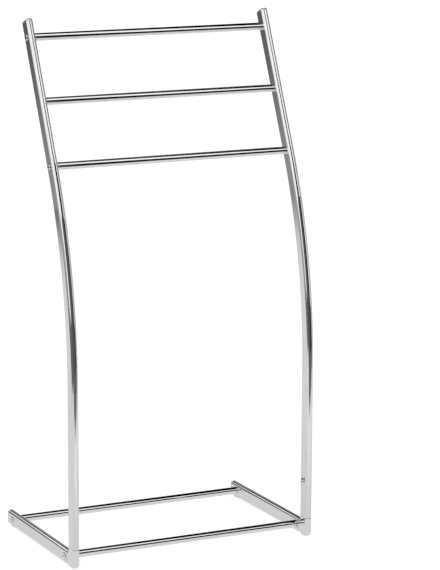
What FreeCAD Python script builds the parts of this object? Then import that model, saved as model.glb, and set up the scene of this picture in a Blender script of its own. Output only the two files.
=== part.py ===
"""Freestanding towel stand: two bent side tubes on a knock-down base, five round bars.

Millimetres, +Z up, +X to the right and +Y to the back. The origin is on the floor, in the middle
of the base. Each piece is a body of its own. Side pieces are drawn in their side tube's frame:
x from the tube's centre plane, y from the front face of the upright and z from the floor.
"""
import FreeCAD, Part
import os

import Sketcher
from FreeCAD import Placement, Rotation, Vector

# Driving dimensions: alias, value, what it is
SIZES = (
    ("overall_height", 885, "floor to the top of the caps"),
    ("side_spacing", 430, "centre plane to centre plane of the side tubes"),
    ("base_depth", 290, "front of the corner blocks to the back of the rail caps"),
    ("straight_height", 296, "floor to the start of the bend"),
    ("bend_radius", 880, "bend of the upright, at its front face"),
    ("lean_angle", 24.5, "lean of the upper part, in degrees"),
    ("tube_width", 12, "uprights and rails, across the stand"),
    ("upright_depth", 25, "uprights, front to back"),
    ("rail_height", 25, "rails, bottom to top"),
    ("tube_wall", 1.2, "uprights and rails"),
    ("tube_corner", 5.5, "outside corner radius of the side tubes"),
    ("bar_diameter", 12.7, "towel bars and base bars"),
    ("bar_wall", 1, "towel bars and base bars"),
    ("top_bar_drop", 29, "top of the cap to the top bar, along the tube"),
    ("bar_spacing", 110, "towel bar to towel bar, along the tube"),
    ("front_bar_setback", 40, "front face to the front base bar"),
    ("back_bar_inset", 22, "back of the rail caps to the back base bar"),
    ("corner_rise", 6, "corner block above the top of the rail"),
    ("corner_heel", 3.5, "corner block behind the upright"),
    ("corner_nose", 6, "radius under the corner block's front"),
    ("corner_throat", 1.5, "radius between the heel and the post"),
    ("post_spigot", 45, "corner block inside the upright"),
    ("rail_spigot", 38, "corner block inside the rail"),
    ("spigot_gap", 0.1, "all round a spigot or a cap's plug"),
    ("seam_bevel", 0.3, "broken edges where two side pieces meet"),
    ("spigot_chamfer", 1, "lead-in at a spigot's tip"),
    ("cap_head", 3.5, "end caps outside the tube"),
    ("cap_edge", 2.5, "rounded edge of an end cap"),
    ("cap_plug", 14, "end caps inside the tube"),
    ("cap_plug_wall", 1.6, "hollow plug of an end cap"),
    ("screw_diameter", 5, "bar screws"),
    ("screw_reach", 15, "bar screws inside the bar"),
    ("screw_hole_gap", 0.25, "round a screw where it passes through"),
    ("thread_gap", 0.05, "round a screw where it is threaded"),
    ("head_diameter", 10.5, "bar screw heads"),
    ("head_height", 1.9, "bar screw heads"),
    ("head_dome", 1.5, "rounded edge of a bar screw head"),
    ("head_socket", 3, "hexagon of a bar screw, across flats"),
    ("socket_depth", 1.4, "hexagon of a bar screw"),
    ("insert_length", 20, "threaded inserts in the bar ends"),
    ("insert_gap", 0.05, "round an insert in its bar"),
    ("peg_diameter", 8, "locating pegs of the middle bar"),
    ("peg_length", 6, "locating pegs outside the bar"),
    ("peg_gap", 0.15, "round a peg in the upright"),
    ("lock_diameter", 4, "screws that lock the uprights"),
    ("lock_height", 22, "lock screws above the corner blocks"),
    ("lock_reach", 9, "lock screws inside the spigot"),
    ("lock_recess", 0.5, "lock screws below the back of the upright"),
    ("lock_socket", 2, "hexagon of a lock screw, across flats"),
    ("lock_socket_depth", 2, "hexagon of a lock screw"),
    ("pad_thickness", 1, "floor pads, below the side tube"),
    ("pad_width", 7, "floor pads, across the side tube"),
    ("pad_length", 16, "floor pads, along the side tube"),
    ("pad_inset", 9, "end of the base to a floor pad"),
    ("pad_corner", 2, "rounded corners of a floor pad"),
)

# Places that follow from the driving dimensions, in the side tube's frame
LAYOUT = (
    ("rail_top", "Sizes.pad_thickness + Sizes.rail_height"),
    ("rail_middle", "Sizes.pad_thickness + Sizes.rail_height / 2"),
    ("seam_height", "Sizes.pad_thickness + Sizes.rail_height + Sizes.corner_rise"),
    ("rail_start", "Sizes.upright_depth + Sizes.corner_heel"),
    ("rail_end", "Sizes.base_depth - Sizes.cap_head"),
    ("front_bar_y", "Sizes.front_bar_setback"),
    ("back_bar_y", "Sizes.base_depth - Sizes.back_bar_inset"),
    ("bar_length", "Sizes.side_spacing - Sizes.tube_width"),
    ("bar_bore", "Sizes.bar_diameter - 2 * Sizes.bar_wall"),
    ("inner_corner", "Sizes.tube_corner - Sizes.tube_wall"),
    ("spigot_step", "Sizes.tube_wall + Sizes.spigot_gap"),
    ("middle_radius", "Sizes.bend_radius - Sizes.upright_depth / 2"),
    ("bend_end_y", "Sizes.bend_radius - Layout.middle_radius * cos(Sizes.lean_angle)"),
    ("bend_end_z", "Sizes.straight_height + Layout.middle_radius * sin(Sizes.lean_angle)"),
    ("cap_crown", "Sizes.cap_edge + (Sizes.cap_head - Sizes.cap_edge) * cos(Sizes.lean_angle)"
                  " + (Sizes.upright_depth / 2 - Sizes.cap_edge) * sin(Sizes.lean_angle)"),
    ("upper_length", "(Sizes.overall_height - Layout.cap_crown - Layout.bend_end_z)"
                     " / cos(Sizes.lean_angle)"),
    ("tube_end_y", "Layout.bend_end_y + Layout.upper_length * sin(Sizes.lean_angle)"),
    ("tube_end_z", "Layout.bend_end_z + Layout.upper_length * cos(Sizes.lean_angle)"),
    ("top_bar_run", "Layout.upper_length + Sizes.cap_head - Sizes.top_bar_drop"),
    ("middle_bar_run", "Layout.top_bar_run - Sizes.bar_spacing"),
    ("lower_bar_run", "Layout.middle_bar_run - Sizes.bar_spacing"),
    ("lock_z", "Layout.seam_height + Sizes.lock_height"),
    ("front_pad_y", "Sizes.pad_inset"),
    ("back_pad_y", "Sizes.base_depth - Sizes.pad_inset - Sizes.pad_length"),
    ("pad_flat", "Sizes.tube_width / 2 - Sizes.tube_corner"),
    ("pad_rise", "Sizes.pad_thickness + Sizes.tube_corner"
                 " - sqrt(pow(Sizes.tube_corner; 2) - pow(Sizes.pad_width / 2 - Layout.pad_flat; 2))"),
)

SIDES = {"left": -1, "right": 1}
SCREWED_BARS = ("top", "lower", "front", "back")
FULL_TURN_DEGREES = 360
HALF_TURN = Rotation(Vector(0, 0, 1), 180)
OVERCUT = 1

doc = FreeCAD.newDocument("TowelStand")


def make_sheet(name, rows):
    """Fill a sheet with aliased cells, one row each, with a note beside it."""
    sheet = doc.addObject("Spreadsheet::Sheet", name)
    for number, (alias, content, note) in enumerate(rows, start=1):
        sheet.set("A%d" % number, alias)
        sheet.set("B%d" % number, str(content))
        sheet.set("C%d" % number, note)
        sheet.setAlias("B%d" % number, alias)
    doc.recompute()
    return sheet


def towel_bar_places():
    """Where the towel bars cross the upright: on its straight top, or round the bend below it."""
    rows = []
    for bar in ("top", "middle", "lower"):
        run = "Layout.%s_bar_run" % bar
        bent_length_angle = "%s / Layout.middle_radius * %d / (2 * pi)" % (run, FULL_TURN_DEGREES)
        turned = "(Sizes.lean_angle + %s)" % bent_length_angle
        straight_y = "Layout.bend_end_y + %s * sin(Sizes.lean_angle)" % run
        straight_z = "Layout.bend_end_z + %s * cos(Sizes.lean_angle)" % run
        bent_y = "Sizes.bend_radius - Layout.middle_radius * cos%s" % turned
        bent_z = "Sizes.straight_height + Layout.middle_radius * sin%s" % turned
        rows.append((bar + "_bar_y", "%s >= 0 ? %s : %s" % (run, straight_y, bent_y)))
        rows.append((bar + "_bar_z", "%s >= 0 ? %s : %s" % (run, straight_z, bent_z)))
    return rows


sizes = make_sheet("Sizes", SIZES)
layout_rows = [(alias, "=" + formula, "") for alias, formula in LAYOUT]
layout_rows += [(alias, "=" + formula, "") for alias, formula in towel_bar_places()]
layout = make_sheet("Layout", layout_rows)


def amount(expression):
    """The present value of an expression, for drawing a sketch before it is bound."""
    return float(layout.evalExpression(expression))


def bind(thing, **expressions):
    """Bind properties to expressions, with a dot written as two underscores."""
    for name, expression in expressions.items():
        thing.setExpression(name.replace("__", "."), expression)


# ---- bodies ---------------------------------------------------------------------------------

def new_body(label, across, back, up, turn=Rotation()):
    """A body whose own origin is bound to a place of the stand."""
    body = doc.addObject("PartDesign::Body", label)
    body.Label = label
    body.Placement = Placement(Vector(), turn)
    bind(body, Placement__Base__x=across, Placement__Base__y=back, Placement__Base__z=up)
    return body


def side_body(label, side):
    """A body drawn in the frame of the left or right side tube."""
    across = "%d * Sizes.side_spacing / 2" % SIDES[side]
    return new_body(label, across, "-Sizes.base_depth / 2", "0")


def facing_body(label, side, across, back, up):
    """A body whose local +X points to the middle of the stand, from either side."""
    turn = HALF_TURN if side == "right" else Rotation()
    across = "%d * (%s)" % (SIDES[side], across)
    return new_body(label, across, back + " - Sizes.base_depth / 2", up, turn)


def finish(body, feature):
    """Make a feature the body's tip and work it out."""
    body.Tip = feature
    doc.recompute()
    return feature


# ---- sketches -------------------------------------------------------------------------------

def new_sketch(body, plane, offset="0"):
    """A sketch on one of the body's own planes, moved along that plane's normal."""
    sketch = body.newObject("Sketcher::SketchObject", body.Name + "_sketch")
    planes = [item for item in body.Origin.OriginFeatures if item.Role == plane + "_Plane"]
    sketch.AttachmentSupport = [(planes[0], "")]
    sketch.MapMode = "FlatFace"
    bind(sketch, AttachmentOffset__Base__z=offset)
    return sketch


def constrain(sketch, expression, *geometry):
    """Add a dimension to a sketch and bind it."""
    index = sketch.addConstraint(Sketcher.Constraint(*geometry, amount(expression)))
    sketch.setExpression("Constraints[%d]" % index, expression)


def pin(sketch, curve, end, across, up):
    """Hold a point of a curve at bound distances from the sketch's origin."""
    constrain(sketch, across, "DistanceX", -1, 1, curve, end)
    constrain(sketch, up, "DistanceY", -1, 1, curve, end)


def circle(sketch, across, up, diameter):
    """A bound circle."""
    centre = Vector(amount(across), amount(up), 0)
    curve = sketch.addGeometry(Part.Circle(centre, Vector(0, 0, 1), amount(diameter) / 2))
    pin(sketch, curve, 3, across, up)
    constrain(sketch, diameter, "Diameter", curve)


def outline(sketch, corners, arcs=None):
    """A closed outline through bound corners. arcs maps a side's number to its radius and centre."""
    arcs = arcs or {}
    points = [Vector(amount(across), amount(up), 0) for across, up in corners]
    ends = []
    for number, start in enumerate(points):
        stop = points[(number + 1) % len(points)]
        if number in arcs:
            radius, across, up = arcs[number]
            centre = Vector(amount(across), amount(up), 0)
            turns_left = (start - centre).cross(stop - centre).z > 0
            first, last = (start, stop) if turns_left else (stop, start)
            round_form = Part.Circle(centre, Vector(0, 0, 1), amount(radius))
            span = round_form.parameter(first), round_form.parameter(last)
            curve = sketch.addGeometry(Part.ArcOfCircle(round_form, *span))
            constrain(sketch, radius, "Radius", curve)
            ends.append((curve, 1, 2) if turns_left else (curve, 2, 1))
        else:
            curve = sketch.addGeometry(Part.LineSegment(start, stop))
            ends.append((curve, 1, 2))
    for number, (curve, start_end, stop_end) in enumerate(ends):
        before, _, before_end = ends[number - 1]
        sketch.addConstraint(Sketcher.Constraint("Coincident", before, before_end, curve, start_end))
        holder, holder_end = (before, before_end) if number in arcs else (curve, start_end)
        pin(sketch, holder, holder_end, *corners[number])


def rounded_rectangle(sketch, across, up, width, height, radius):
    """A bound rectangle with rounded corners about a centre."""
    left = "%s - (%s) / 2" % (across, width)
    right = "%s + (%s) / 2" % (across, width)
    low = "%s - (%s) / 2" % (up, height)
    high = "%s + (%s) / 2" % (up, height)
    near_left, near_right = "%s + %s" % (left, radius), "%s - %s" % (right, radius)
    near_low, near_high = "%s + %s" % (low, radius), "%s - %s" % (high, radius)
    corners = [(near_left, low), (near_right, low), (right, near_low), (right, near_high),
               (near_right, high), (near_left, high), (left, near_high), (left, near_low)]
    arcs = {1: (radius, near_right, near_low), 3: (radius, near_right, near_high),
            5: (radius, near_left, near_high), 7: (radius, near_left, near_low)}
    outline(sketch, corners, arcs)


def hexagon(sketch, across_flats):
    """A bound hexagon about the sketch's origin, with a flat at its top and its bottom."""
    half_side = "%s / (2 * sqrt(3))" % across_flats
    corners = [("2 * " + half_side, "0"), (half_side, across_flats + " / 2"),
               ("-" + half_side, across_flats + " / 2"), ("-2 * " + half_side, "0"),
               ("-" + half_side, "-%s / 2" % across_flats), (half_side, "-%s / 2" % across_flats)]
    outline(sketch, corners)


# ---- features -------------------------------------------------------------------------------

def pad(body, sketch, length, way="out"):
    """Add material along the sketch's normal: out, back or both."""
    feature = body.newObject("PartDesign::Pad", body.Name + "_pad")
    feature.Profile = sketch
    feature.SideType = "Symmetric" if way == "both" else "One side"
    feature.Reversed = way == "back"
    bind(feature, Length=length)
    return finish(body, feature)


def pocket(body, sketch, length, way="out"):
    """Cut along the sketch's normal: out, back or both. The cut has to remove something."""
    before = body.Shape.Volume
    feature = body.newObject("PartDesign::Pocket", body.Name + "_pocket")
    feature.Profile = sketch
    feature.SideType = "Symmetric" if way == "both" else "One side"
    feature.Reversed = way == "out"
    bind(feature, Length=length)
    finish(body, feature)
    if not body.Shape.Volume < before:
        raise ValueError(body.Label + ": a pocket cuts nothing")
    return feature


def fillet(body, feature, names, radius):
    """Round the named edges, or all edges of the named faces."""
    rounded = body.newObject("PartDesign::Fillet", body.Name + "_fillet")
    rounded.Base = (feature, names)
    bind(rounded, Radius=radius)
    return finish(body, rounded)


def chamfer(body, feature, names, size):
    """Bevel all edges of the named faces."""
    bevel = body.newObject("PartDesign::Chamfer", body.Name + "_chamfer")
    bevel.Base = (feature, names)
    bind(bevel, Size=size)
    return finish(body, bevel)


def straight_edges(feature, direction):
    """The names of the straight edges along a direction of the body's frame."""
    names = []
    for number, edge in enumerate(feature.Shape.Edges, start=1):
        straight = edge.Curve.TypeId == "Part::GeomLine"
        if straight and abs(edge.tangentAt(edge.FirstParameter).dot(direction)) > 0.999:
            names.append("Edge%d" % number)
    return names


def face_towards(feature, direction):
    """The name of the flat face that lies furthest along a direction of the body's frame."""
    reach = {}
    for number, face in enumerate(feature.Shape.Faces, start=1):
        normal = face.normalAt(0, 0)
        if face.Surface.TypeId == "Part::GeomPlane" and normal.dot(direction) > 0.999:
            reach[face.CenterOfMass.dot(direction)] = "Face%d" % number
    return reach[max(reach)]


# ---- side tubes -----------------------------------------------------------------------------

def tube_section(sketch, across, up, depth):
    """The hollow section of a side tube."""
    rounded_rectangle(sketch, across, up, "Sizes.tube_width", depth, "Sizes.tube_corner")
    rounded_rectangle(sketch, across, up, "(Sizes.tube_width - 2 * Sizes.tube_wall)",
                      "(%s - 2 * Sizes.tube_wall)" % depth, "Layout.inner_corner")


def upright(side):
    """Bent tube that slides over the corner block's spigot and carries the towel bars."""
    body = side_body(side + "_upright", side)
    middle = "Sizes.upright_depth / 2"

    path = new_sketch(body, "YZ")
    foot = Vector(amount(middle), amount("Layout.seam_height"), 0)
    bend_start = Vector(amount(middle), amount("Sizes.straight_height"), 0)
    bend_end = Vector(amount("Layout.bend_end_y"), amount("Layout.bend_end_z"), 0)
    top = Vector(amount("Layout.tube_end_y"), amount("Layout.tube_end_z"), 0)
    centre = Vector(amount("Sizes.bend_radius"), amount("Sizes.straight_height"), 0)
    bend = Part.Circle(centre, Vector(0, 0, 1), amount("Layout.middle_radius"))
    span = bend.parameter(bend_end), bend.parameter(bend_start)
    lower = path.addGeometry(Part.LineSegment(foot, bend_start))
    curve = path.addGeometry(Part.ArcOfCircle(bend, *span))
    upper = path.addGeometry(Part.LineSegment(bend_end, top))
    path.addConstraint(Sketcher.Constraint("Coincident", lower, 2, curve, 2))
    path.addConstraint(Sketcher.Constraint("Coincident", curve, 1, upper, 1))
    pin(path, lower, 1, middle, "Layout.seam_height")
    pin(path, lower, 2, middle, "Sizes.straight_height")
    pin(path, curve, 3, "Sizes.bend_radius", "Sizes.straight_height")
    constrain(path, "Layout.bend_end_z", "DistanceY", -1, 1, upper, 1)
    pin(path, upper, 2, "Layout.tube_end_y", "Layout.tube_end_z")

    section = new_sketch(body, "XY", "Layout.seam_height")
    tube_section(section, "0", middle, "Sizes.upright_depth")
    doc.recompute()
    pipe = body.newObject("PartDesign::AdditivePipe", body.Name + "_pipe")
    pipe.Profile = section
    pipe.Spine = (path, ["Edge1", "Edge2", "Edge3"])
    finish(body, pipe)
    lean = amount("Sizes.lean_angle")
    upwards = Rotation(Vector(-1, 0, 0), lean).multVec(Vector(0, 0, 1))
    ends = [face_towards(pipe, Vector(0, 0, -1)), face_towards(pipe, upwards)]
    chamfer(body, pipe, ends, "Sizes.seam_bevel")

    screw_holes = new_sketch(body, "YZ")
    for name in ("top", "lower"):
        circle(screw_holes, "Layout.%s_bar_y" % name, "Layout.%s_bar_z" % name,
               "(Sizes.screw_diameter + 2 * Sizes.screw_hole_gap)")
    pocket(body, screw_holes, "Sizes.tube_width + %d" % OVERCUT, "both")

    peg_hole = new_sketch(body, "YZ")
    circle(peg_hole, "Layout.middle_bar_y", "Layout.middle_bar_z",
           "(Sizes.peg_diameter + 2 * Sizes.peg_gap)")
    pocket(body, peg_hole, "Sizes.tube_width", "out" if side == "left" else "back")

    lock_hole = new_sketch(body, "XZ", "-" + middle)
    circle(lock_hole, "0", "Layout.lock_z", "(Sizes.lock_diameter + 2 * Sizes.screw_hole_gap)")
    pocket(body, lock_hole, "Sizes.upright_depth", "back")
    return body


def corner_block(side):
    """Casting under the upright, with a heel for the rail and a spigot up and back."""
    body = side_body(side + "_corner_block", side)
    throat = "(Sizes.upright_depth + Sizes.corner_throat)"
    above_rail = "(Layout.rail_top + Sizes.corner_throat)"
    above_floor = "(Sizes.pad_thickness + Sizes.corner_nose)"
    corners = [("0", "Layout.seam_height"), ("0", above_floor),
               ("Sizes.corner_nose", "Sizes.pad_thickness"), ("Layout.rail_start", "Sizes.pad_thickness"),
               ("Layout.rail_start", "Layout.rail_top"), (throat, "Layout.rail_top"),
               ("Sizes.upright_depth", above_rail), ("Sizes.upright_depth", "Layout.seam_height")]
    arcs = {1: ("Sizes.corner_nose", "Sizes.corner_nose", above_floor),
            5: ("Sizes.corner_throat", throat, above_rail)}
    profile = new_sketch(body, "YZ")
    outline(profile, corners, arcs)
    block = pad(body, profile, "Sizes.tube_width", "both")
    block = fillet(body, block, outer_edges(block), "Sizes.tube_corner")
    shoulders = [face_towards(block, Vector(0, 0, 1)), face_towards(block, Vector(0, 1, 0))]
    block = chamfer(body, block, shoulders, "Sizes.seam_bevel")

    up = new_sketch(body, "XY", "Layout.seam_height")
    spigot_section(up, "Sizes.upright_depth / 2", "Sizes.upright_depth")
    block = pad(body, up, "Sizes.post_spigot")
    block = chamfer(body, block, [face_towards(block, Vector(0, 0, 1))], "Sizes.spigot_chamfer")
    back = new_sketch(body, "XZ", "-Layout.rail_start")
    spigot_section(back, "Layout.rail_middle", "Sizes.rail_height")
    block = pad(body, back, "Sizes.rail_spigot", "back")
    chamfer(body, block, [face_towards(block, Vector(0, 1, 0))], "Sizes.spigot_chamfer")

    screw_hole = new_sketch(body, "YZ")
    circle(screw_hole, "Layout.front_bar_y", "Layout.rail_middle",
           "(Sizes.screw_diameter + 2 * Sizes.screw_hole_gap)")
    pocket(body, screw_hole, "Sizes.tube_width", "both")
    lock_hole = new_sketch(body, "XZ", "-Sizes.upright_depth")
    circle(lock_hole, "0", "Layout.lock_z", "(Sizes.lock_diameter + 2 * Sizes.thread_gap)")
    pocket(body, lock_hole, "Layout.spigot_step + Sizes.lock_reach + %d" % OVERCUT, "out")
    return body


def spigot_section(sketch, up, depth):
    """A side tube's bore, less the gap round a spigot."""
    rounded_rectangle(sketch, "0", up, "(Sizes.tube_width - 2 * Layout.spigot_step)",
                      "(%s - 2 * Layout.spigot_step)" % depth, "(Layout.inner_corner - Sizes.spigot_gap)")


def outer_edges(block):
    """The edges of the corner block's two sides, but not where a tube meets it."""
    seam = amount("Layout.seam_height")
    rail_start = amount("Layout.rail_start")
    half_width = amount("Sizes.tube_width") / 2
    names = []
    for number, edge in enumerate(block.Shape.Edges, start=1):
        middle = edge.valueAt((edge.FirstParameter + edge.LastParameter) / 2)
        on_side = abs(abs(middle.x) - half_width) < 1e-6
        meets_tube = abs(middle.z - seam) < 1e-6 or abs(middle.y - rail_start) < 1e-6
        if on_side and not meets_tube:
            names.append("Edge%d" % number)
    return names


def base_rail(side):
    """Straight tube from the corner block to the back, with holes for the base bars' screws."""
    body = side_body(side + "_base_rail", side)
    section = new_sketch(body, "XZ", "-Layout.rail_start")
    tube_section(section, "0", "Layout.rail_middle", "Sizes.rail_height")
    tube = pad(body, section, "Layout.rail_end - Layout.rail_start", "back")
    ends = [face_towards(tube, Vector(0, way, 0)) for way in (-1, 1)]
    chamfer(body, tube, ends, "Sizes.seam_bevel")
    holes = new_sketch(body, "YZ")
    for name in ("front", "back"):
        circle(holes, "Layout.%s_bar_y" % name, "Layout.rail_middle",
               "(Sizes.screw_diameter + 2 * Sizes.screw_hole_gap)")
    pocket(body, holes, "Sizes.tube_width + %d" % OVERCUT, "both")
    return body


def end_cap(body, depth):
    """Push-in cap along the body's +Z: a head as wide as the tube on a hollow plug."""
    head = new_sketch(body, "XY")
    rounded_rectangle(head, "0", "0", "Sizes.tube_width", depth, "Sizes.tube_corner")
    cap = pad(body, head, "Sizes.cap_head")
    cap = fillet(body, cap, [face_towards(cap, Vector(0, 0, 1))], "Sizes.cap_edge")
    chamfer(body, cap, [face_towards(cap, Vector(0, 0, -1))], "Sizes.seam_bevel")
    plug = new_sketch(body, "XY")
    spigot_section(plug, "0", depth)
    pad(body, plug, "Sizes.cap_plug", "back")
    hollow = new_sketch(body, "XY", "-Sizes.cap_plug")
    walls = "2 * (Layout.spigot_step + Sizes.cap_plug_wall)"
    rounded_rectangle(hollow, "0", "0", "(Sizes.tube_width - %s)" % walls, "(%s - %s)" % (depth, walls),
                      "(Layout.inner_corner - Sizes.spigot_gap - Sizes.cap_plug_wall)")
    pocket(body, hollow, "Sizes.cap_plug", "out")
    return body


def top_cap(side):
    """Cap on the upper end of an upright, square to the leaning tube."""
    across = "%d * Sizes.side_spacing / 2" % SIDES[side]
    body = new_body(side + "_top_cap", across, "Layout.tube_end_y - Sizes.base_depth / 2",
                    "Layout.tube_end_z", Rotation(Vector(-1, 0, 0), amount("Sizes.lean_angle")))
    bind(body, Placement__Rotation__Angle="Sizes.lean_angle")
    return end_cap(body, "Sizes.upright_depth")


def rail_end_cap(side):
    """Cap on the back end of a rail."""
    across = "%d * Sizes.side_spacing / 2" % SIDES[side]
    body = new_body(side + "_rail_end_cap", across, "Layout.rail_end - Sizes.base_depth / 2",
                    "Layout.rail_middle", Rotation(Vector(1, 0, 0), -90))
    return end_cap(body, "Sizes.rail_height")


# ---- bars and what holds them ---------------------------------------------------------------

def bar_place(name):
    """Where a bar's axis lies in the side tube's frame."""
    up = "Layout.rail_middle" if name in ("front", "back") else "Layout.%s_bar_z" % name
    return "Layout.%s_bar_y" % name, up


def round_bar(label, name):
    """Round tube between the side tubes."""
    back, up = bar_place(name)
    body = new_body(label, "0", back + " - Sizes.base_depth / 2", up)
    section = new_sketch(body, "YZ")
    circle(section, "0", "0", "Sizes.bar_diameter")
    circle(section, "0", "0", "Layout.bar_bore")
    pad(body, section, "Layout.bar_length", "both")
    return body


def bar_insert(name, side):
    """Threaded plug inside a bar's end, flush with it."""
    body = facing_body("%s_bar_%s_insert" % (name, side), side, "Layout.bar_length / 2", *bar_place(name))
    section = new_sketch(body, "YZ")
    circle(section, "0", "0", "(Layout.bar_bore - 2 * Sizes.insert_gap)")
    circle(section, "0", "0", "(Sizes.screw_diameter + 2 * Sizes.thread_gap)")
    pad(body, section, "Sizes.insert_length")
    return body


def bar_peg(name, side):
    """Plug with a plain peg that locates a bar in the upright's inner wall."""
    body = facing_body("%s_bar_%s_peg" % (name, side), side, "Layout.bar_length / 2", *bar_place(name))
    plug = new_sketch(body, "YZ")
    circle(plug, "0", "0", "(Layout.bar_bore - 2 * Sizes.insert_gap)")
    pad(body, plug, "Sizes.insert_length")
    peg = new_sketch(body, "YZ")
    circle(peg, "0", "0", "Sizes.peg_diameter")
    pad(body, peg, "Sizes.peg_length", "back")
    return body


def bar_screw(name, side):
    """Domed socket screw through the side tube into a bar's insert."""
    across = "(Sizes.side_spacing + Sizes.tube_width) / 2"
    body = facing_body("%s_bar_%s_screw" % (name, side), side, across, *bar_place(name))
    stem = new_sketch(body, "YZ")
    circle(stem, "0", "0", "Sizes.screw_diameter")
    pad(body, stem, "Sizes.tube_width + Sizes.screw_reach")
    disc = new_sketch(body, "YZ")
    circle(disc, "0", "0", "Sizes.head_diameter")
    head = pad(body, disc, "Sizes.head_height", "back")
    fillet(body, head, [face_towards(head, Vector(-1, 0, 0))], "Sizes.head_dome")
    recess = new_sketch(body, "YZ", "-Sizes.head_height")
    hexagon(recess, "Sizes.head_socket")
    pocket(body, recess, "Sizes.socket_depth", "out")
    return body


def lock_screw(side):
    """Headless screw through the upright's back wall into the corner block's spigot."""
    across = "%d * Sizes.side_spacing / 2" % SIDES[side]
    back = "Sizes.upright_depth - Sizes.lock_recess - Sizes.base_depth / 2"
    body = new_body(side + "_upright_lock_screw", across, back, "Layout.lock_z",
                    Rotation(Vector(0, 0, 1), -90))
    stem = new_sketch(body, "YZ")
    circle(stem, "0", "0", "Sizes.lock_diameter")
    pad(body, stem, "Layout.spigot_step + Sizes.lock_reach - Sizes.lock_recess")
    recess = new_sketch(body, "YZ")
    hexagon(recess, "Sizes.lock_socket")
    pocket(body, recess, "Sizes.lock_socket_depth", "out")
    return body


def floor_pad(end, side):
    """Soft saddle under the round of the side tube, flat on the floor."""
    body = side_body("%s_%s_floor_pad" % (end, side), side)
    profile = new_sketch(body, "XZ", "-Layout.%s_pad_y" % end)
    edge, flat, axis = "Sizes.pad_width / 2", "Layout.pad_flat", "(Sizes.pad_thickness + Sizes.tube_corner)"
    corners = [("-" + edge, "0"), (edge, "0"), (edge, "Layout.pad_rise"), (flat, "Sizes.pad_thickness"),
               ("-" + flat, "Sizes.pad_thickness"), ("-" + edge, "Layout.pad_rise")]
    arcs = {2: ("Sizes.tube_corner", flat, axis), 4: ("Sizes.tube_corner", "-" + flat, axis)}
    outline(profile, corners, arcs)
    strip = pad(body, profile, "Sizes.pad_length", "back")
    fillet(body, strip, straight_edges(strip, Vector(0, 0, 1)), "Sizes.pad_corner")
    return body


# ---- the stand ------------------------------------------------------------------------------

def build_stand():
    """Every piece of the stand, in the order in which it is put together."""
    pieces = []
    for side in SIDES:
        pieces += [corner_block(side), base_rail(side), rail_end_cap(side), upright(side), top_cap(side)]
        pieces += [floor_pad(end, side) for end in ("front", "back")]
    pieces += [round_bar(name + "_towel_bar", name) for name in ("top", "middle", "lower")]
    pieces += [round_bar(name + "_base_bar", name) for name in ("front", "back")]
    for side in SIDES:
        for name in SCREWED_BARS:
            pieces += [bar_insert(name, side), bar_screw(name, side)]
        pieces += [bar_peg("middle", side), lock_screw(side)]
    return pieces


def check(pieces):
    """Stop if anything failed to compute or a piece is not one valid solid."""
    doc.recompute()
    failed = [item.Label for item in doc.Objects if {"Invalid", "Error"} & set(item.State)]
    if failed:
        raise ValueError("failed: " + ", ".join(failed))
    for piece in pieces:
        if piece.Shape.isNull() or not piece.Shape.isValid() or len(piece.Shape.Solids) != 1:
            raise ValueError("not one valid solid: " + piece.Label)


stand = build_stand()
check(stand)
os.makedirs("parts", exist_ok=True)
for piece in stand:
    piece.Shape.exportStep("parts/%s.step" % piece.Label)
box = Part.makeCompound([piece.Shape for piece in stand]).optimalBoundingBox(False)
print("%d pieces, %.1f x %.1f x %.1f mm" % (len(stand), box.XLength, box.YLength, box.ZLength))
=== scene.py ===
import math

import bpy
from mathutils import Matrix, Vector


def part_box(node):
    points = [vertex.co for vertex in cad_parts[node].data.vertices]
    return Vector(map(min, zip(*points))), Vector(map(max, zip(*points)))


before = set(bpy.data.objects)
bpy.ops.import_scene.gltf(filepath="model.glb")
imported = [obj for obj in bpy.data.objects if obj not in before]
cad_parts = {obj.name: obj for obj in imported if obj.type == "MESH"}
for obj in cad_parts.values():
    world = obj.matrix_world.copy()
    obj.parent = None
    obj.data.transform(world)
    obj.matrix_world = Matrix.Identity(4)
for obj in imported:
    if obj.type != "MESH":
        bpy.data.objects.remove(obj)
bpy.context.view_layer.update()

# The camera: in degrees, metres and pixels of the photograph's 570-pixel height.
CAMERA_AZIMUTH = -26.28
CAMERA_ELEVATION = 11.60
CAMERA_ROLL = 0.28
CAMERA_DISTANCE = 4.4025
CAMERA_AIM = Vector((0.0433, -0.145, 0.4531))
CAMERA_REACH = 100.0
FOCAL_PIXELS = 2678.4
PHOTO_HEIGHT = 570.0
SENSOR = 36.0

# The floor, in metres. Greys are linear. A pair of places is where a change starts and ends.
# The camera sees the floor's glow and diffuse part, and the metal sees a painted pool of light on
# the floor and the dark round it.
FLOOR_HALF = 30.0
FLOOR_SEEN_GLOW = 0.80
FLOOR_SEEN_DIFFUSE = 0.28
# Painted light: the pool of light that the metal sees on the floor. It is dimmer under and behind
# the stand, brighter in front of it and dimmer far back, and it fades to dark at its front and
# left edges.
FLOOR_LIGHT_DIM = 0.69
FLOOR_LIGHT_FULL = 0.80
FLOOR_LIGHT_RISES = (-0.25, -0.70)
FLOOR_LIGHT_BACK_SHARE = 0.46
FLOOR_LIGHT_BACK_DIMS = (2.95, 1.95)
FLOOR_LIGHT_FRONT_EDGE = (-1.20, -0.86)
FLOOR_LIGHT_LEFT_EDGE = (-1.75, -1.25)
FLOOR_DARK = 0.13

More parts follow.
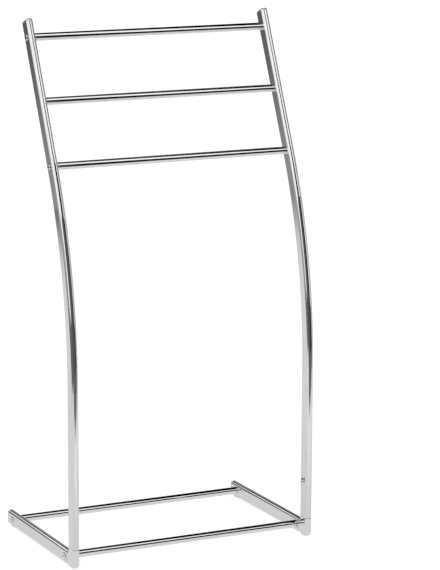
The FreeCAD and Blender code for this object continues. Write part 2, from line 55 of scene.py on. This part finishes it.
# The boards round the stand, in metres: spans in x, heights in z. Pairs go from left to right,
# from front to back or from foot to top.
BLACK = 0.003
FRONT_Y = -1.95
FLAG_TOP = 1.52
GREY_FLAG_SPAN = (-2.1, 0.62)
GREY_FLAG_GREY = 0.09
BLACK_FLAG_SPAN = (0.62, 1.40)
GAP_FOOT_SPAN = (-0.85, 0.95)
GAP_HEAD_SPAN = (-0.22, 0.60)
GAP_TOP = 2.9
BACK_Y = 3.0
PANEL_Y = 2.98
BACK_WALL_SPAN = (-2.4, 14.0)
BACK_FOOT_TOP = 0.55
BACK_FOOT_GREYS = (0.28, 0.11)
WHITE_PANEL_SPAN = (-2.1, -0.45)
WHITE_PANEL_FEET = (0.90, 1.30)
WHITE_PANEL_TOPS = (1.55, 1.80)
WHITE_PANEL_GREY = 0.95
GREY_PANEL_SPAN = (0.45, 2.09)
GREY_PANEL_HEIGHTS = (0.45, 1.65)
GREY_PANEL_GREY = 0.28
LEFT_FOOT_FRONT_X = -6.0
LEFT_FOOT_TOP = 1.3
LEFT_FOOT_GREY = 0.38
RIGHT_X = 2.1
RIGHT_GLOW_TOP = 1.35
RIGHT_GLOW_GREY = 0.52
RIGHT_WALL_TOPS = (2.0, 2.9)
RIGHT_WALL_GREY = 0.03

# The dark part of the ceiling, in metres. Its front edge runs slantwise. A second part reaches
# forward to that edge's mirror image in the right upright's inner wall, at x = 0.209, because
# the reflections in the bars' right ends come back from that wall.
CEILING_Z = 2.5
CEILING_EDGE_START = (0.28, 0.0)
CEILING_EDGE_SLOPE = -1.28
CEILING_FRONT_SPAN = (-8.0, 1.8)
CEILING_BACK_SPAN = (-8.0, 4.1)
CEILING_BACK_Y = 14.0
CEILING_FORWARD_CORNERS = ((0.209, 0.09), (-1.6, 2.4), (-1.6, -1.0), (-0.65, -1.0))

# The chrome. Scales are per metre, depths and reaches in metres, and ramps (place, value) stops.
TUBE_CHROME = (0.93, 0.935, 0.94)
CAST_CHROME = (0.92, 0.925, 0.93)
HANDLED_SHARE = 0.97
CLOUD_SCALE = 38.0
CLOUD_EDGES = (0.3, 0.7)
SPECK_SCALE = 900.0
SPECK_SHARE = 0.25
GLOSS_STEPS = (0.35, 0.62, 0.85)
POLISH_SCALE = 1400.0
FINE_POLISH = 0.0000012
CAST_POLISH = 0.0000016
# Painted shade in creases, sockets and round screw heads: the colour darkens where the surface is
# closed in.
CREASE_SHADE_REACH = 0.0022
CREASE_SAMPLES = 8
CREASE_SHADE_RAMP = ((0.42, 0.10), (0.72, 1.0))
# A painted shadow line: a thin dark band on each side of each joint.
JOINT_SHADOW_REACH = 0.0012
JOINT_SHADOW_RAMP = ((0.3, 0.06), (0.6, 1.0))
DRAWN_LINE = 0.0022
DRAWN_RAMP = ((0.38, 0.91), (0.62, 1.0))

# How noise is stretched: a small number draws it out along that axis.
ALONG_X = (0.04, 1.0, 1.0)
ALONG_Y = (1.0, 0.04, 1.0)
ALONG_Z = (1.0, 1.0, 0.04)
EVEN = (1.0, 1.0, 1.0)
DRAWN_ALONG_BEND = (1.0, 0.01, 0.01)
DRAWN_ALONG_Y = (1.0, 0.01, 1.0)

# The plain zinc and the clear rubber, with scales, depths and ramps as above.
ZINC_COLOURS = ((0.3, (0.42, 0.43, 0.44)), (0.7, (0.58, 0.59, 0.60)))
ZINC_ROUGHNESS = ((0.3, 0.38), (0.7, 0.55))
ZINC_PATCH_SCALE = 220.0
ZINC_PIT_SCALE = 1500.0
ZINC_PIT_DEPTH = 0.00004
RUBBER_COLOURS = ((0.4, (0.80, 0.80, 0.79)), (0.75, (0.68, 0.68, 0.66)))
RUBBER_ROUGHNESS = ((0.3, 0.42), (0.7, 0.60))
RUBBER_CLEARNESS = 0.35
RUBBER_IOR = 1.42
RUBBER_DUST_SCALE = 160.0
RUBBER_GRAIN_SCALE = 2600.0
RUBBER_GRAIN_DEPTH = 0.00006


# ---------------------------------------------------------------- node helpers

def new_material(name):
    """An empty node material and its output node."""
    material = bpy.data.materials.new(name)
    material.use_nodes = True
    material.node_tree.nodes.clear()
    output = material.node_tree.nodes.new("ShaderNodeOutputMaterial")
    return material, output


def add(tree, kind, **settings):
    """A new node of that kind; settings are its properties, or its sockets' values by name."""
    node = tree.nodes.new(kind)
    for key, value in settings.items():
        if key in node.bl_rna.properties:
            setattr(node, key, value)
        else:
            node.inputs[key.replace("_", " ")].default_value = value
    return node


def ramp(tree, source, stops):
    """A colour ramp over source, with stops (position, grey or colour)."""
    node = add(tree, "ShaderNodeValToRGB")
    elements = node.color_ramp.elements
    while len(elements) < len(stops):
        elements.new(0.5)
    for element, (position, colour) in zip(elements, stops):
        element.position = position
        grey = colour if isinstance(colour, tuple) else (colour, colour, colour)
        element.color = (*grey, 1)
    tree.links.new(source, node.inputs["Fac"])
    return node.outputs["Color"]


def math_node(tree, operation, *values):
    """The result of a math operation on values, each a number or another node's output."""
    node = add(tree, "ShaderNodeMath", operation=operation)
    for socket, value in zip(node.inputs, values):
        if isinstance(value, (int, float)):
            socket.default_value = value
        else:
            tree.links.new(value, socket)
    return node.outputs["Value"]


def along_axis(tree, axis):
    """How far along the object's own X, Y or Z each point lies, in metres."""
    split = add(tree, "ShaderNodeSeparateXYZ")
    tree.links.new(add(tree, "ShaderNodeTexCoord").outputs["Object"], split.inputs["Vector"])
    return split.outputs[axis]


def fade(tree, axis, places, values):
    """A smooth change along an axis, from values[0] at places[0] to values[1] at places[1]."""
    node = add(tree, "ShaderNodeMapRange", interpolation_type="SMOOTHSTEP")
    (start, end), (first, last) = places, values
    if start > end:
        start, end, first, last = end, start, last, first
    node.inputs["From Min"].default_value = start
    node.inputs["From Max"].default_value = end
    node.inputs["To Min"].default_value = first
    node.inputs["To Max"].default_value = last
    tree.links.new(along_axis(tree, axis), node.inputs["Value"])
    return node.outputs["Result"]


def noise(tree, scale, detail, roughness=0.5, stretch=None):
    """Noise in metres of the object, drawn out along an axis where stretch says so."""
    place = add(tree, "ShaderNodeTexCoord").outputs["Object"]
    if stretch:
        mapping = add(tree, "ShaderNodeMapping")
        mapping.inputs["Scale"].default_value = stretch
        tree.links.new(place, mapping.inputs["Vector"])
        place = mapping.outputs["Vector"]
    node = add(tree, "ShaderNodeTexNoise", Scale=scale, Detail=detail, Roughness=roughness)
    tree.links.new(place, node.inputs["Vector"])
    return node.outputs["Fac"]


def bump(tree, height, distance, under=None):
    """A surface raised by height times distance in metres, over another bump where given."""
    node = add(tree, "ShaderNodeBump", Distance=distance, Strength=1.0)
    tree.links.new(height, node.inputs["Height"])
    if under:
        tree.links.new(under, node.inputs["Normal"])
    return node.outputs["Normal"]


def darkened(tree, colour, mask):
    """colour multiplied by mask."""
    node = add(tree, "ShaderNodeMix", data_type="RGBA", blend_type="MULTIPLY")
    node.inputs["Factor"].default_value = 1.0
    colour_socket, mask_socket = (socket for socket in node.inputs if socket.type == "RGBA")
    tree.links.new(colour, colour_socket)
    tree.links.new(mask, mask_socket)
    return next(socket for socket in node.outputs if socket.type == "RGBA")


# ---------------------------------------------------------------- the finishes

def chrome(name, colour, gloss, wave, wave_size, polish, polish_stretch, joints=(), drawn=None):
    """Polished chrome plate: a faint wave of the metal under it, fine polishing lines, cloudy
    patches where it has been handled, painted shade in its creases and a painted shadow line at
    its joints. gloss is (least, most) roughness, wave the depth in metres of a ripple of
    wave_size, polish the depth of the polishing lines, joints the (axis, place) of each end that
    meets another piece and gets the painted shadow line, and drawn the stretch of the faint lines
    that drawing the tube left along it."""
    material, output = new_material(name)
    tree = material.node_tree
    shader = add(tree, "ShaderNodeBsdfPrincipled", Metallic=1.0)
    clouds = noise(tree, CLOUD_SCALE, detail=5.0, roughness=0.6)
    specks = noise(tree, SPECK_SCALE, detail=2.0)
    smear = math_node(tree, "MULTIPLY_ADD", specks, SPECK_SHARE, clouds)
    least, most = gloss
    rough = ramp(tree, smear, list(zip(GLOSS_STEPS, (least, (least + most) / 2, most))))
    tree.links.new(rough, shader.inputs["Roughness"])
    handled = tuple(HANDLED_SHARE * channel for channel in colour)
    tint = ramp(tree, clouds, list(zip(CLOUD_EDGES, (handled, colour))))
    # Painted shade: the colour darkens where the surface is closed in, in creases, sockets and
    # round screw heads.
    crease_shade = add(tree, "ShaderNodeAmbientOcclusion", samples=CREASE_SAMPLES,
                  Distance=CREASE_SHADE_REACH)
    grey = darkened(tree, tint, ramp(tree, crease_shade.outputs["AO"], CREASE_SHADE_RAMP))
    # Painted shadow line: a thin dark band along each joint, where the seam's gap would lie in
    # shade.
    for axis, place in joints:
        along = math_node(tree, "SUBTRACT", along_axis(tree, axis), place)
        away = math_node(tree, "DIVIDE", math_node(tree, "ABSOLUTE", along), JOINT_SHADOW_REACH)
        grey = darkened(tree, grey, ramp(tree, away, JOINT_SHADOW_RAMP))
    if drawn:
        lines = noise(tree, 1.0 / DRAWN_LINE, detail=2.0, stretch=drawn)
        grey = darkened(tree, grey, ramp(tree, lines, DRAWN_RAMP))
    tree.links.new(grey, shader.inputs["Base Color"])
    ripple = bump(tree, noise(tree, 1.0 / wave_size, detail=1.0), wave)
    polishing = noise(tree, POLISH_SCALE, detail=2.0, stretch=polish_stretch)
    tree.links.new(bump(tree, polishing, polish, under=ripple), shader.inputs["Normal"])
    tree.links.new(shader.outputs["BSDF"], output.inputs["Surface"])
    return material


def zinc(name):
    """Cast zinc, dull and slightly pitted."""
    material, output = new_material(name)
    tree = material.node_tree
    shader = add(tree, "ShaderNodeBsdfPrincipled", Metallic=1.0)
    patches = noise(tree, ZINC_PATCH_SCALE, detail=6.0, roughness=0.65)
    tree.links.new(ramp(tree, patches, ZINC_COLOURS), shader.inputs["Base Color"])
    tree.links.new(ramp(tree, patches, ZINC_ROUGHNESS), shader.inputs["Roughness"])
    pits = noise(tree, ZINC_PIT_SCALE, detail=4.0)
    tree.links.new(bump(tree, pits, ZINC_PIT_DEPTH), shader.inputs["Normal"])
    tree.links.new(shader.outputs["BSDF"], output.inputs["Surface"])
    return material


def clear_rubber(name):
    """Milky, clear rubber with a moulded grain and a little dust."""
    material, output = new_material(name)
    tree = material.node_tree
    shader = add(tree, "ShaderNodeBsdfPrincipled", IOR=RUBBER_IOR)
    shader.inputs["Transmission Weight"].default_value = RUBBER_CLEARNESS
    dust = noise(tree, RUBBER_DUST_SCALE, detail=6.0, roughness=0.7)
    tree.links.new(ramp(tree, dust, RUBBER_COLOURS), shader.inputs["Base Color"])
    tree.links.new(ramp(tree, dust, RUBBER_ROUGHNESS), shader.inputs["Roughness"])
    grain = noise(tree, RUBBER_GRAIN_SCALE, detail=3.0)
    tree.links.new(bump(tree, grain, RUBBER_GRAIN_DEPTH), shader.inputs["Normal"])
    tree.links.new(shader.outputs["BSDF"], output.inputs["Surface"])
    return material


seam_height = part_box("left_upright")[0][2]
rail_front, rail_back = (corner[1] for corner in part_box("left_base_rail"))
FINISHES = {
    "chrome_side_tube": chrome(
        "upright_chrome", TUBE_CHROME, gloss=(0.03, 0.07), wave=0.00012, wave_size=0.09,
        polish=FINE_POLISH, polish_stretch=ALONG_Z, joints=[("Z", seam_height)],
        drawn=DRAWN_ALONG_BEND),
    "base_rail": chrome(
        "rail_chrome", TUBE_CHROME, gloss=(0.03, 0.07), wave=0.00012, wave_size=0.09,
        polish=FINE_POLISH, polish_stretch=ALONG_Y, joints=[("Y", rail_front), ("Y", rail_back)],
        drawn=DRAWN_ALONG_Y),
    "chrome_bar": chrome(
        "bar_chrome", TUBE_CHROME, gloss=(0.03, 0.07), wave=0.00006, wave_size=0.12,
        polish=FINE_POLISH, polish_stretch=ALONG_X),
    "chrome_casting": chrome(
        "casting_chrome", CAST_CHROME, gloss=(0.05, 0.10), wave=0.00006, wave_size=0.02,
        polish=CAST_POLISH, polish_stretch=EVEN),
    "chrome_cap": chrome(
        "cap_chrome", CAST_CHROME, gloss=(0.04, 0.08), wave=0.00003, wave_size=0.02,
        polish=FINE_POLISH, polish_stretch=EVEN),
    "chrome_screw": chrome(
        "screw_chrome", CAST_CHROME, gloss=(0.05, 0.09), wave=0.00001, wave_size=0.01,
        polish=FINE_POLISH, polish_stretch=EVEN),
    "zinc_insert": zinc("zinc"),
    "rubber_pad": clear_rubber("clear_rubber"),
}


def dress_nodes():
    """Gives each carried node the finish of the material slot it was packed with. The base rails
    share the uprights' slot, but their polish and joints run the other way."""
    for name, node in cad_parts.items():
        for holder in node.material_slots:
            packed = holder.material.name.split(".")[0]
            slot = "base_rail" if name.endswith("base_rail") else packed
            holder.material = FINISHES[slot]


# ---------------------------------------------------------------- the studio

def stage_mesh(name, corners):
    """One flat face of the studio."""
    mesh = bpy.data.meshes.new(name)
    mesh.from_pydata([Vector(corner) for corner in corners], [], [range(len(corners))])
    thing = bpy.data.objects.new(name, mesh)
    bpy.context.scene.collection.objects.link(thing)
    return thing


def card(name, corners, grey, top_grey=None):
    """A flat board that only reflections see, of one grey or graded from its foot to top_grey."""
    board = stage_mesh(name, corners)
    material, output = new_material(name)
    tree = material.node_tree
    glow = add(tree, "ShaderNodeEmission", Color=(grey, grey, grey, 1), Strength=1.0)
    if top_grey is not None:
        heights = [corner[2] for corner in corners]
        graded = fade(tree, "Z", (min(heights), max(heights)), (grey, top_grey))
        tree.links.new(graded, glow.inputs["Color"])
    tree.links.new(glow.outputs["Emission"], output.inputs["Surface"])
    board.data.materials.append(material)
    board.visible_camera = False
    board.visible_diffuse = False
    board.visible_shadow = False


def wall(name, start, end, feet, tops, grey, top_grey=None):
    """A card that stands over the line from start to end. feet and tops are its heights at those
    two ends, or one height for both."""
    start_foot, end_foot = feet if isinstance(feet, tuple) else (feet, feet)
    start_top, end_top = tops if isinstance(tops, tuple) else (tops, tops)
    corners = [(*start, start_foot), (*end, end_foot), (*end, end_top), (*start, start_top)]
    card(name, corners, grey, top_grey)


def across_wall(name, span, place, feet, tops, grey, top_grey=None):
    """A wall that stands across the stand's depth, at y = place."""
    left, right = span
    wall(name, (left, place), (right, place), feet, tops, grey, top_grey)


def make_floor():
    """A painted pool of light on the floor as the metal sees it: dimmer under and behind the
    stand, brighter in front of it, fading to dark in front and to the left. The camera sees it
    white, with a soft shadow."""
    half = FLOOR_HALF
    corners = [(-half, -half, 0), (half, -half, 0), (half, half, 0), (-half, half, 0)]
    floor = stage_mesh("floor", corners)
    material, output = new_material("floor_paper_and_painted_light")
    tree = material.node_tree
    # Painted light: the floor's pool of light and its soft edges, as the metal sees them.
    floor_light_pool = fade(tree, "Y", FLOOR_LIGHT_RISES, (FLOOR_LIGHT_DIM, FLOOR_LIGHT_FULL))
    back = fade(tree, "Y", FLOOR_LIGHT_BACK_DIMS, (FLOOR_LIGHT_BACK_SHARE, 1.0))
    front = fade(tree, "Y", FLOOR_LIGHT_FRONT_EDGE, (0.0, 1.0))
    left = fade(tree, "X", FLOOR_LIGHT_LEFT_EDGE, (0.0, 1.0))
    light = math_node(tree, "MULTIPLY", math_node(tree, "MULTIPLY", floor_light_pool, back),
                      math_node(tree, "MULTIPLY", front, left))
    seen_in_metal = add(tree, "ShaderNodeEmission")
    tree.links.new(math_node(tree, "MAXIMUM", light, FLOOR_DARK), seen_in_metal.inputs["Color"])
    white = add(tree, "ShaderNodeEmission", Color=(1, 1, 1, 1), Strength=FLOOR_SEEN_GLOW)
    grey = FLOOR_SEEN_DIFFUSE
    paper = add(tree, "ShaderNodeBsdfDiffuse", Color=(grey, grey, grey, 1))
    both = add(tree, "ShaderNodeAddShader")
    tree.links.new(white.outputs["Emission"], both.inputs[0])
    tree.links.new(paper.outputs["BSDF"], both.inputs[1])
    path = add(tree, "ShaderNodeLightPath")
    choose = add(tree, "ShaderNodeMixShader")
    tree.links.new(path.outputs["Is Camera Ray"], choose.inputs["Fac"])
    tree.links.new(seen_in_metal.outputs["Emission"], choose.inputs[1])
    tree.links.new(both.outputs["Shader"], choose.inputs[2])
    tree.links.new(choose.outputs["Shader"], output.inputs["Surface"])
    floor.data.materials.append(material)


def make_world():
    """An even white studio all round."""
    world = bpy.data.worlds.new("studio")
    bpy.context.scene.world = world
    world.use_nodes = True
    background = world.node_tree.nodes["Background"]
    background.inputs["Color"].default_value = (1, 1, 1, 1)
    background.inputs["Strength"].default_value = 1.0


def make_flags():
    """The boards and openings of the studio that give the chrome its dark and light lines."""
    across_wall("grey_flag", GREY_FLAG_SPAN, FRONT_Y, 0, FLAG_TOP, GREY_FLAG_GREY)
    across_wall("black_flag", BLACK_FLAG_SPAN, FRONT_Y, 0, FLAG_TOP, BLACK)
    (foot_left, foot_right), (head_left, head_right) = GAP_FOOT_SPAN, GAP_HEAD_SPAN
    card("front_gap", [(foot_left, FRONT_Y, FLAG_TOP), (foot_right, FRONT_Y, FLAG_TOP),
                       (head_right, FRONT_Y, GAP_TOP), (head_left, FRONT_Y, GAP_TOP)], BLACK)
    across_wall("white_panel", WHITE_PANEL_SPAN, PANEL_Y, WHITE_PANEL_FEET, WHITE_PANEL_TOPS,
                WHITE_PANEL_GREY)
    across_wall("grey_panel", GREY_PANEL_SPAN, PANEL_Y, *GREY_PANEL_HEIGHTS, GREY_PANEL_GREY)
    across_wall("back_wall", BACK_WALL_SPAN, BACK_Y, BACK_FOOT_TOP, CEILING_Z, BLACK)
    across_wall("back_foot", BACK_WALL_SPAN, BACK_Y, 0, BACK_FOOT_TOP, *BACK_FOOT_GREYS)
    wall("left_foot", (LEFT_FOOT_FRONT_X, FRONT_Y), (BACK_WALL_SPAN[0], BACK_Y), 0, LEFT_FOOT_TOP,
         LEFT_FOOT_GREY)
    right_front, right_back = (RIGHT_X, FRONT_Y), (RIGHT_X, BACK_Y)
    wall("right_glow", right_front, right_back, 0, RIGHT_GLOW_TOP, RIGHT_GLOW_GREY)
    wall("right_wall", right_front, right_back, RIGHT_GLOW_TOP, RIGHT_WALL_TOPS, RIGHT_WALL_GREY)


def make_ceiling():
    """The dark part of the ceiling, which draws the upper line on every bar."""
    start_x, start_y = CEILING_EDGE_START
    front = [(x, start_y + CEILING_EDGE_SLOPE * (x - start_x)) for x in CEILING_FRONT_SPAN]
    back = [(x, CEILING_BACK_Y) for x in reversed(CEILING_BACK_SPAN)]
    card("dark_ceiling", [(*corner, CEILING_Z) for corner in front + back], BLACK)
    card("dark_ceiling_left", [(*corner, CEILING_Z) for corner in CEILING_FORWARD_CORNERS], BLACK)


def make_camera():
    """The photograph's camera, as fitted to the stand."""
    azimuth = math.radians(CAMERA_AZIMUTH)
    elevation = math.radians(CAMERA_ELEVATION)
    roll = math.radians(CAMERA_ROLL)
    level = math.cos(elevation)
    ahead = Vector((-math.sin(azimuth) * level, math.cos(azimuth) * level, -math.sin(elevation)))
    flat_right = Vector((math.cos(azimuth), math.sin(azimuth), 0))
    flat_up = flat_right.cross(ahead)
    right = math.cos(roll) * flat_right + math.sin(roll) * flat_up
    up = right.cross(ahead)
    data = bpy.data.cameras.new("camera")
    data.sensor_width = SENSOR
    data.sensor_height = SENSOR
    data.lens = FOCAL_PIXELS / PHOTO_HEIGHT * SENSOR
    data.clip_end = CAMERA_REACH
    camera = bpy.data.objects.new("camera", data)
    turn = Matrix((right, up, -ahead)).transposed().to_4x4()
    camera.matrix_world = Matrix.Translation(CAMERA_AIM - ahead * CAMERA_DISTANCE) @ turn
    bpy.context.scene.collection.objects.link(camera)
    bpy.context.scene.camera = camera


dress_nodes()
make_floor()
make_world()
make_flags()
make_ceiling()
make_camera()
bpy.context.scene.view_settings.view_transform = "Standard"
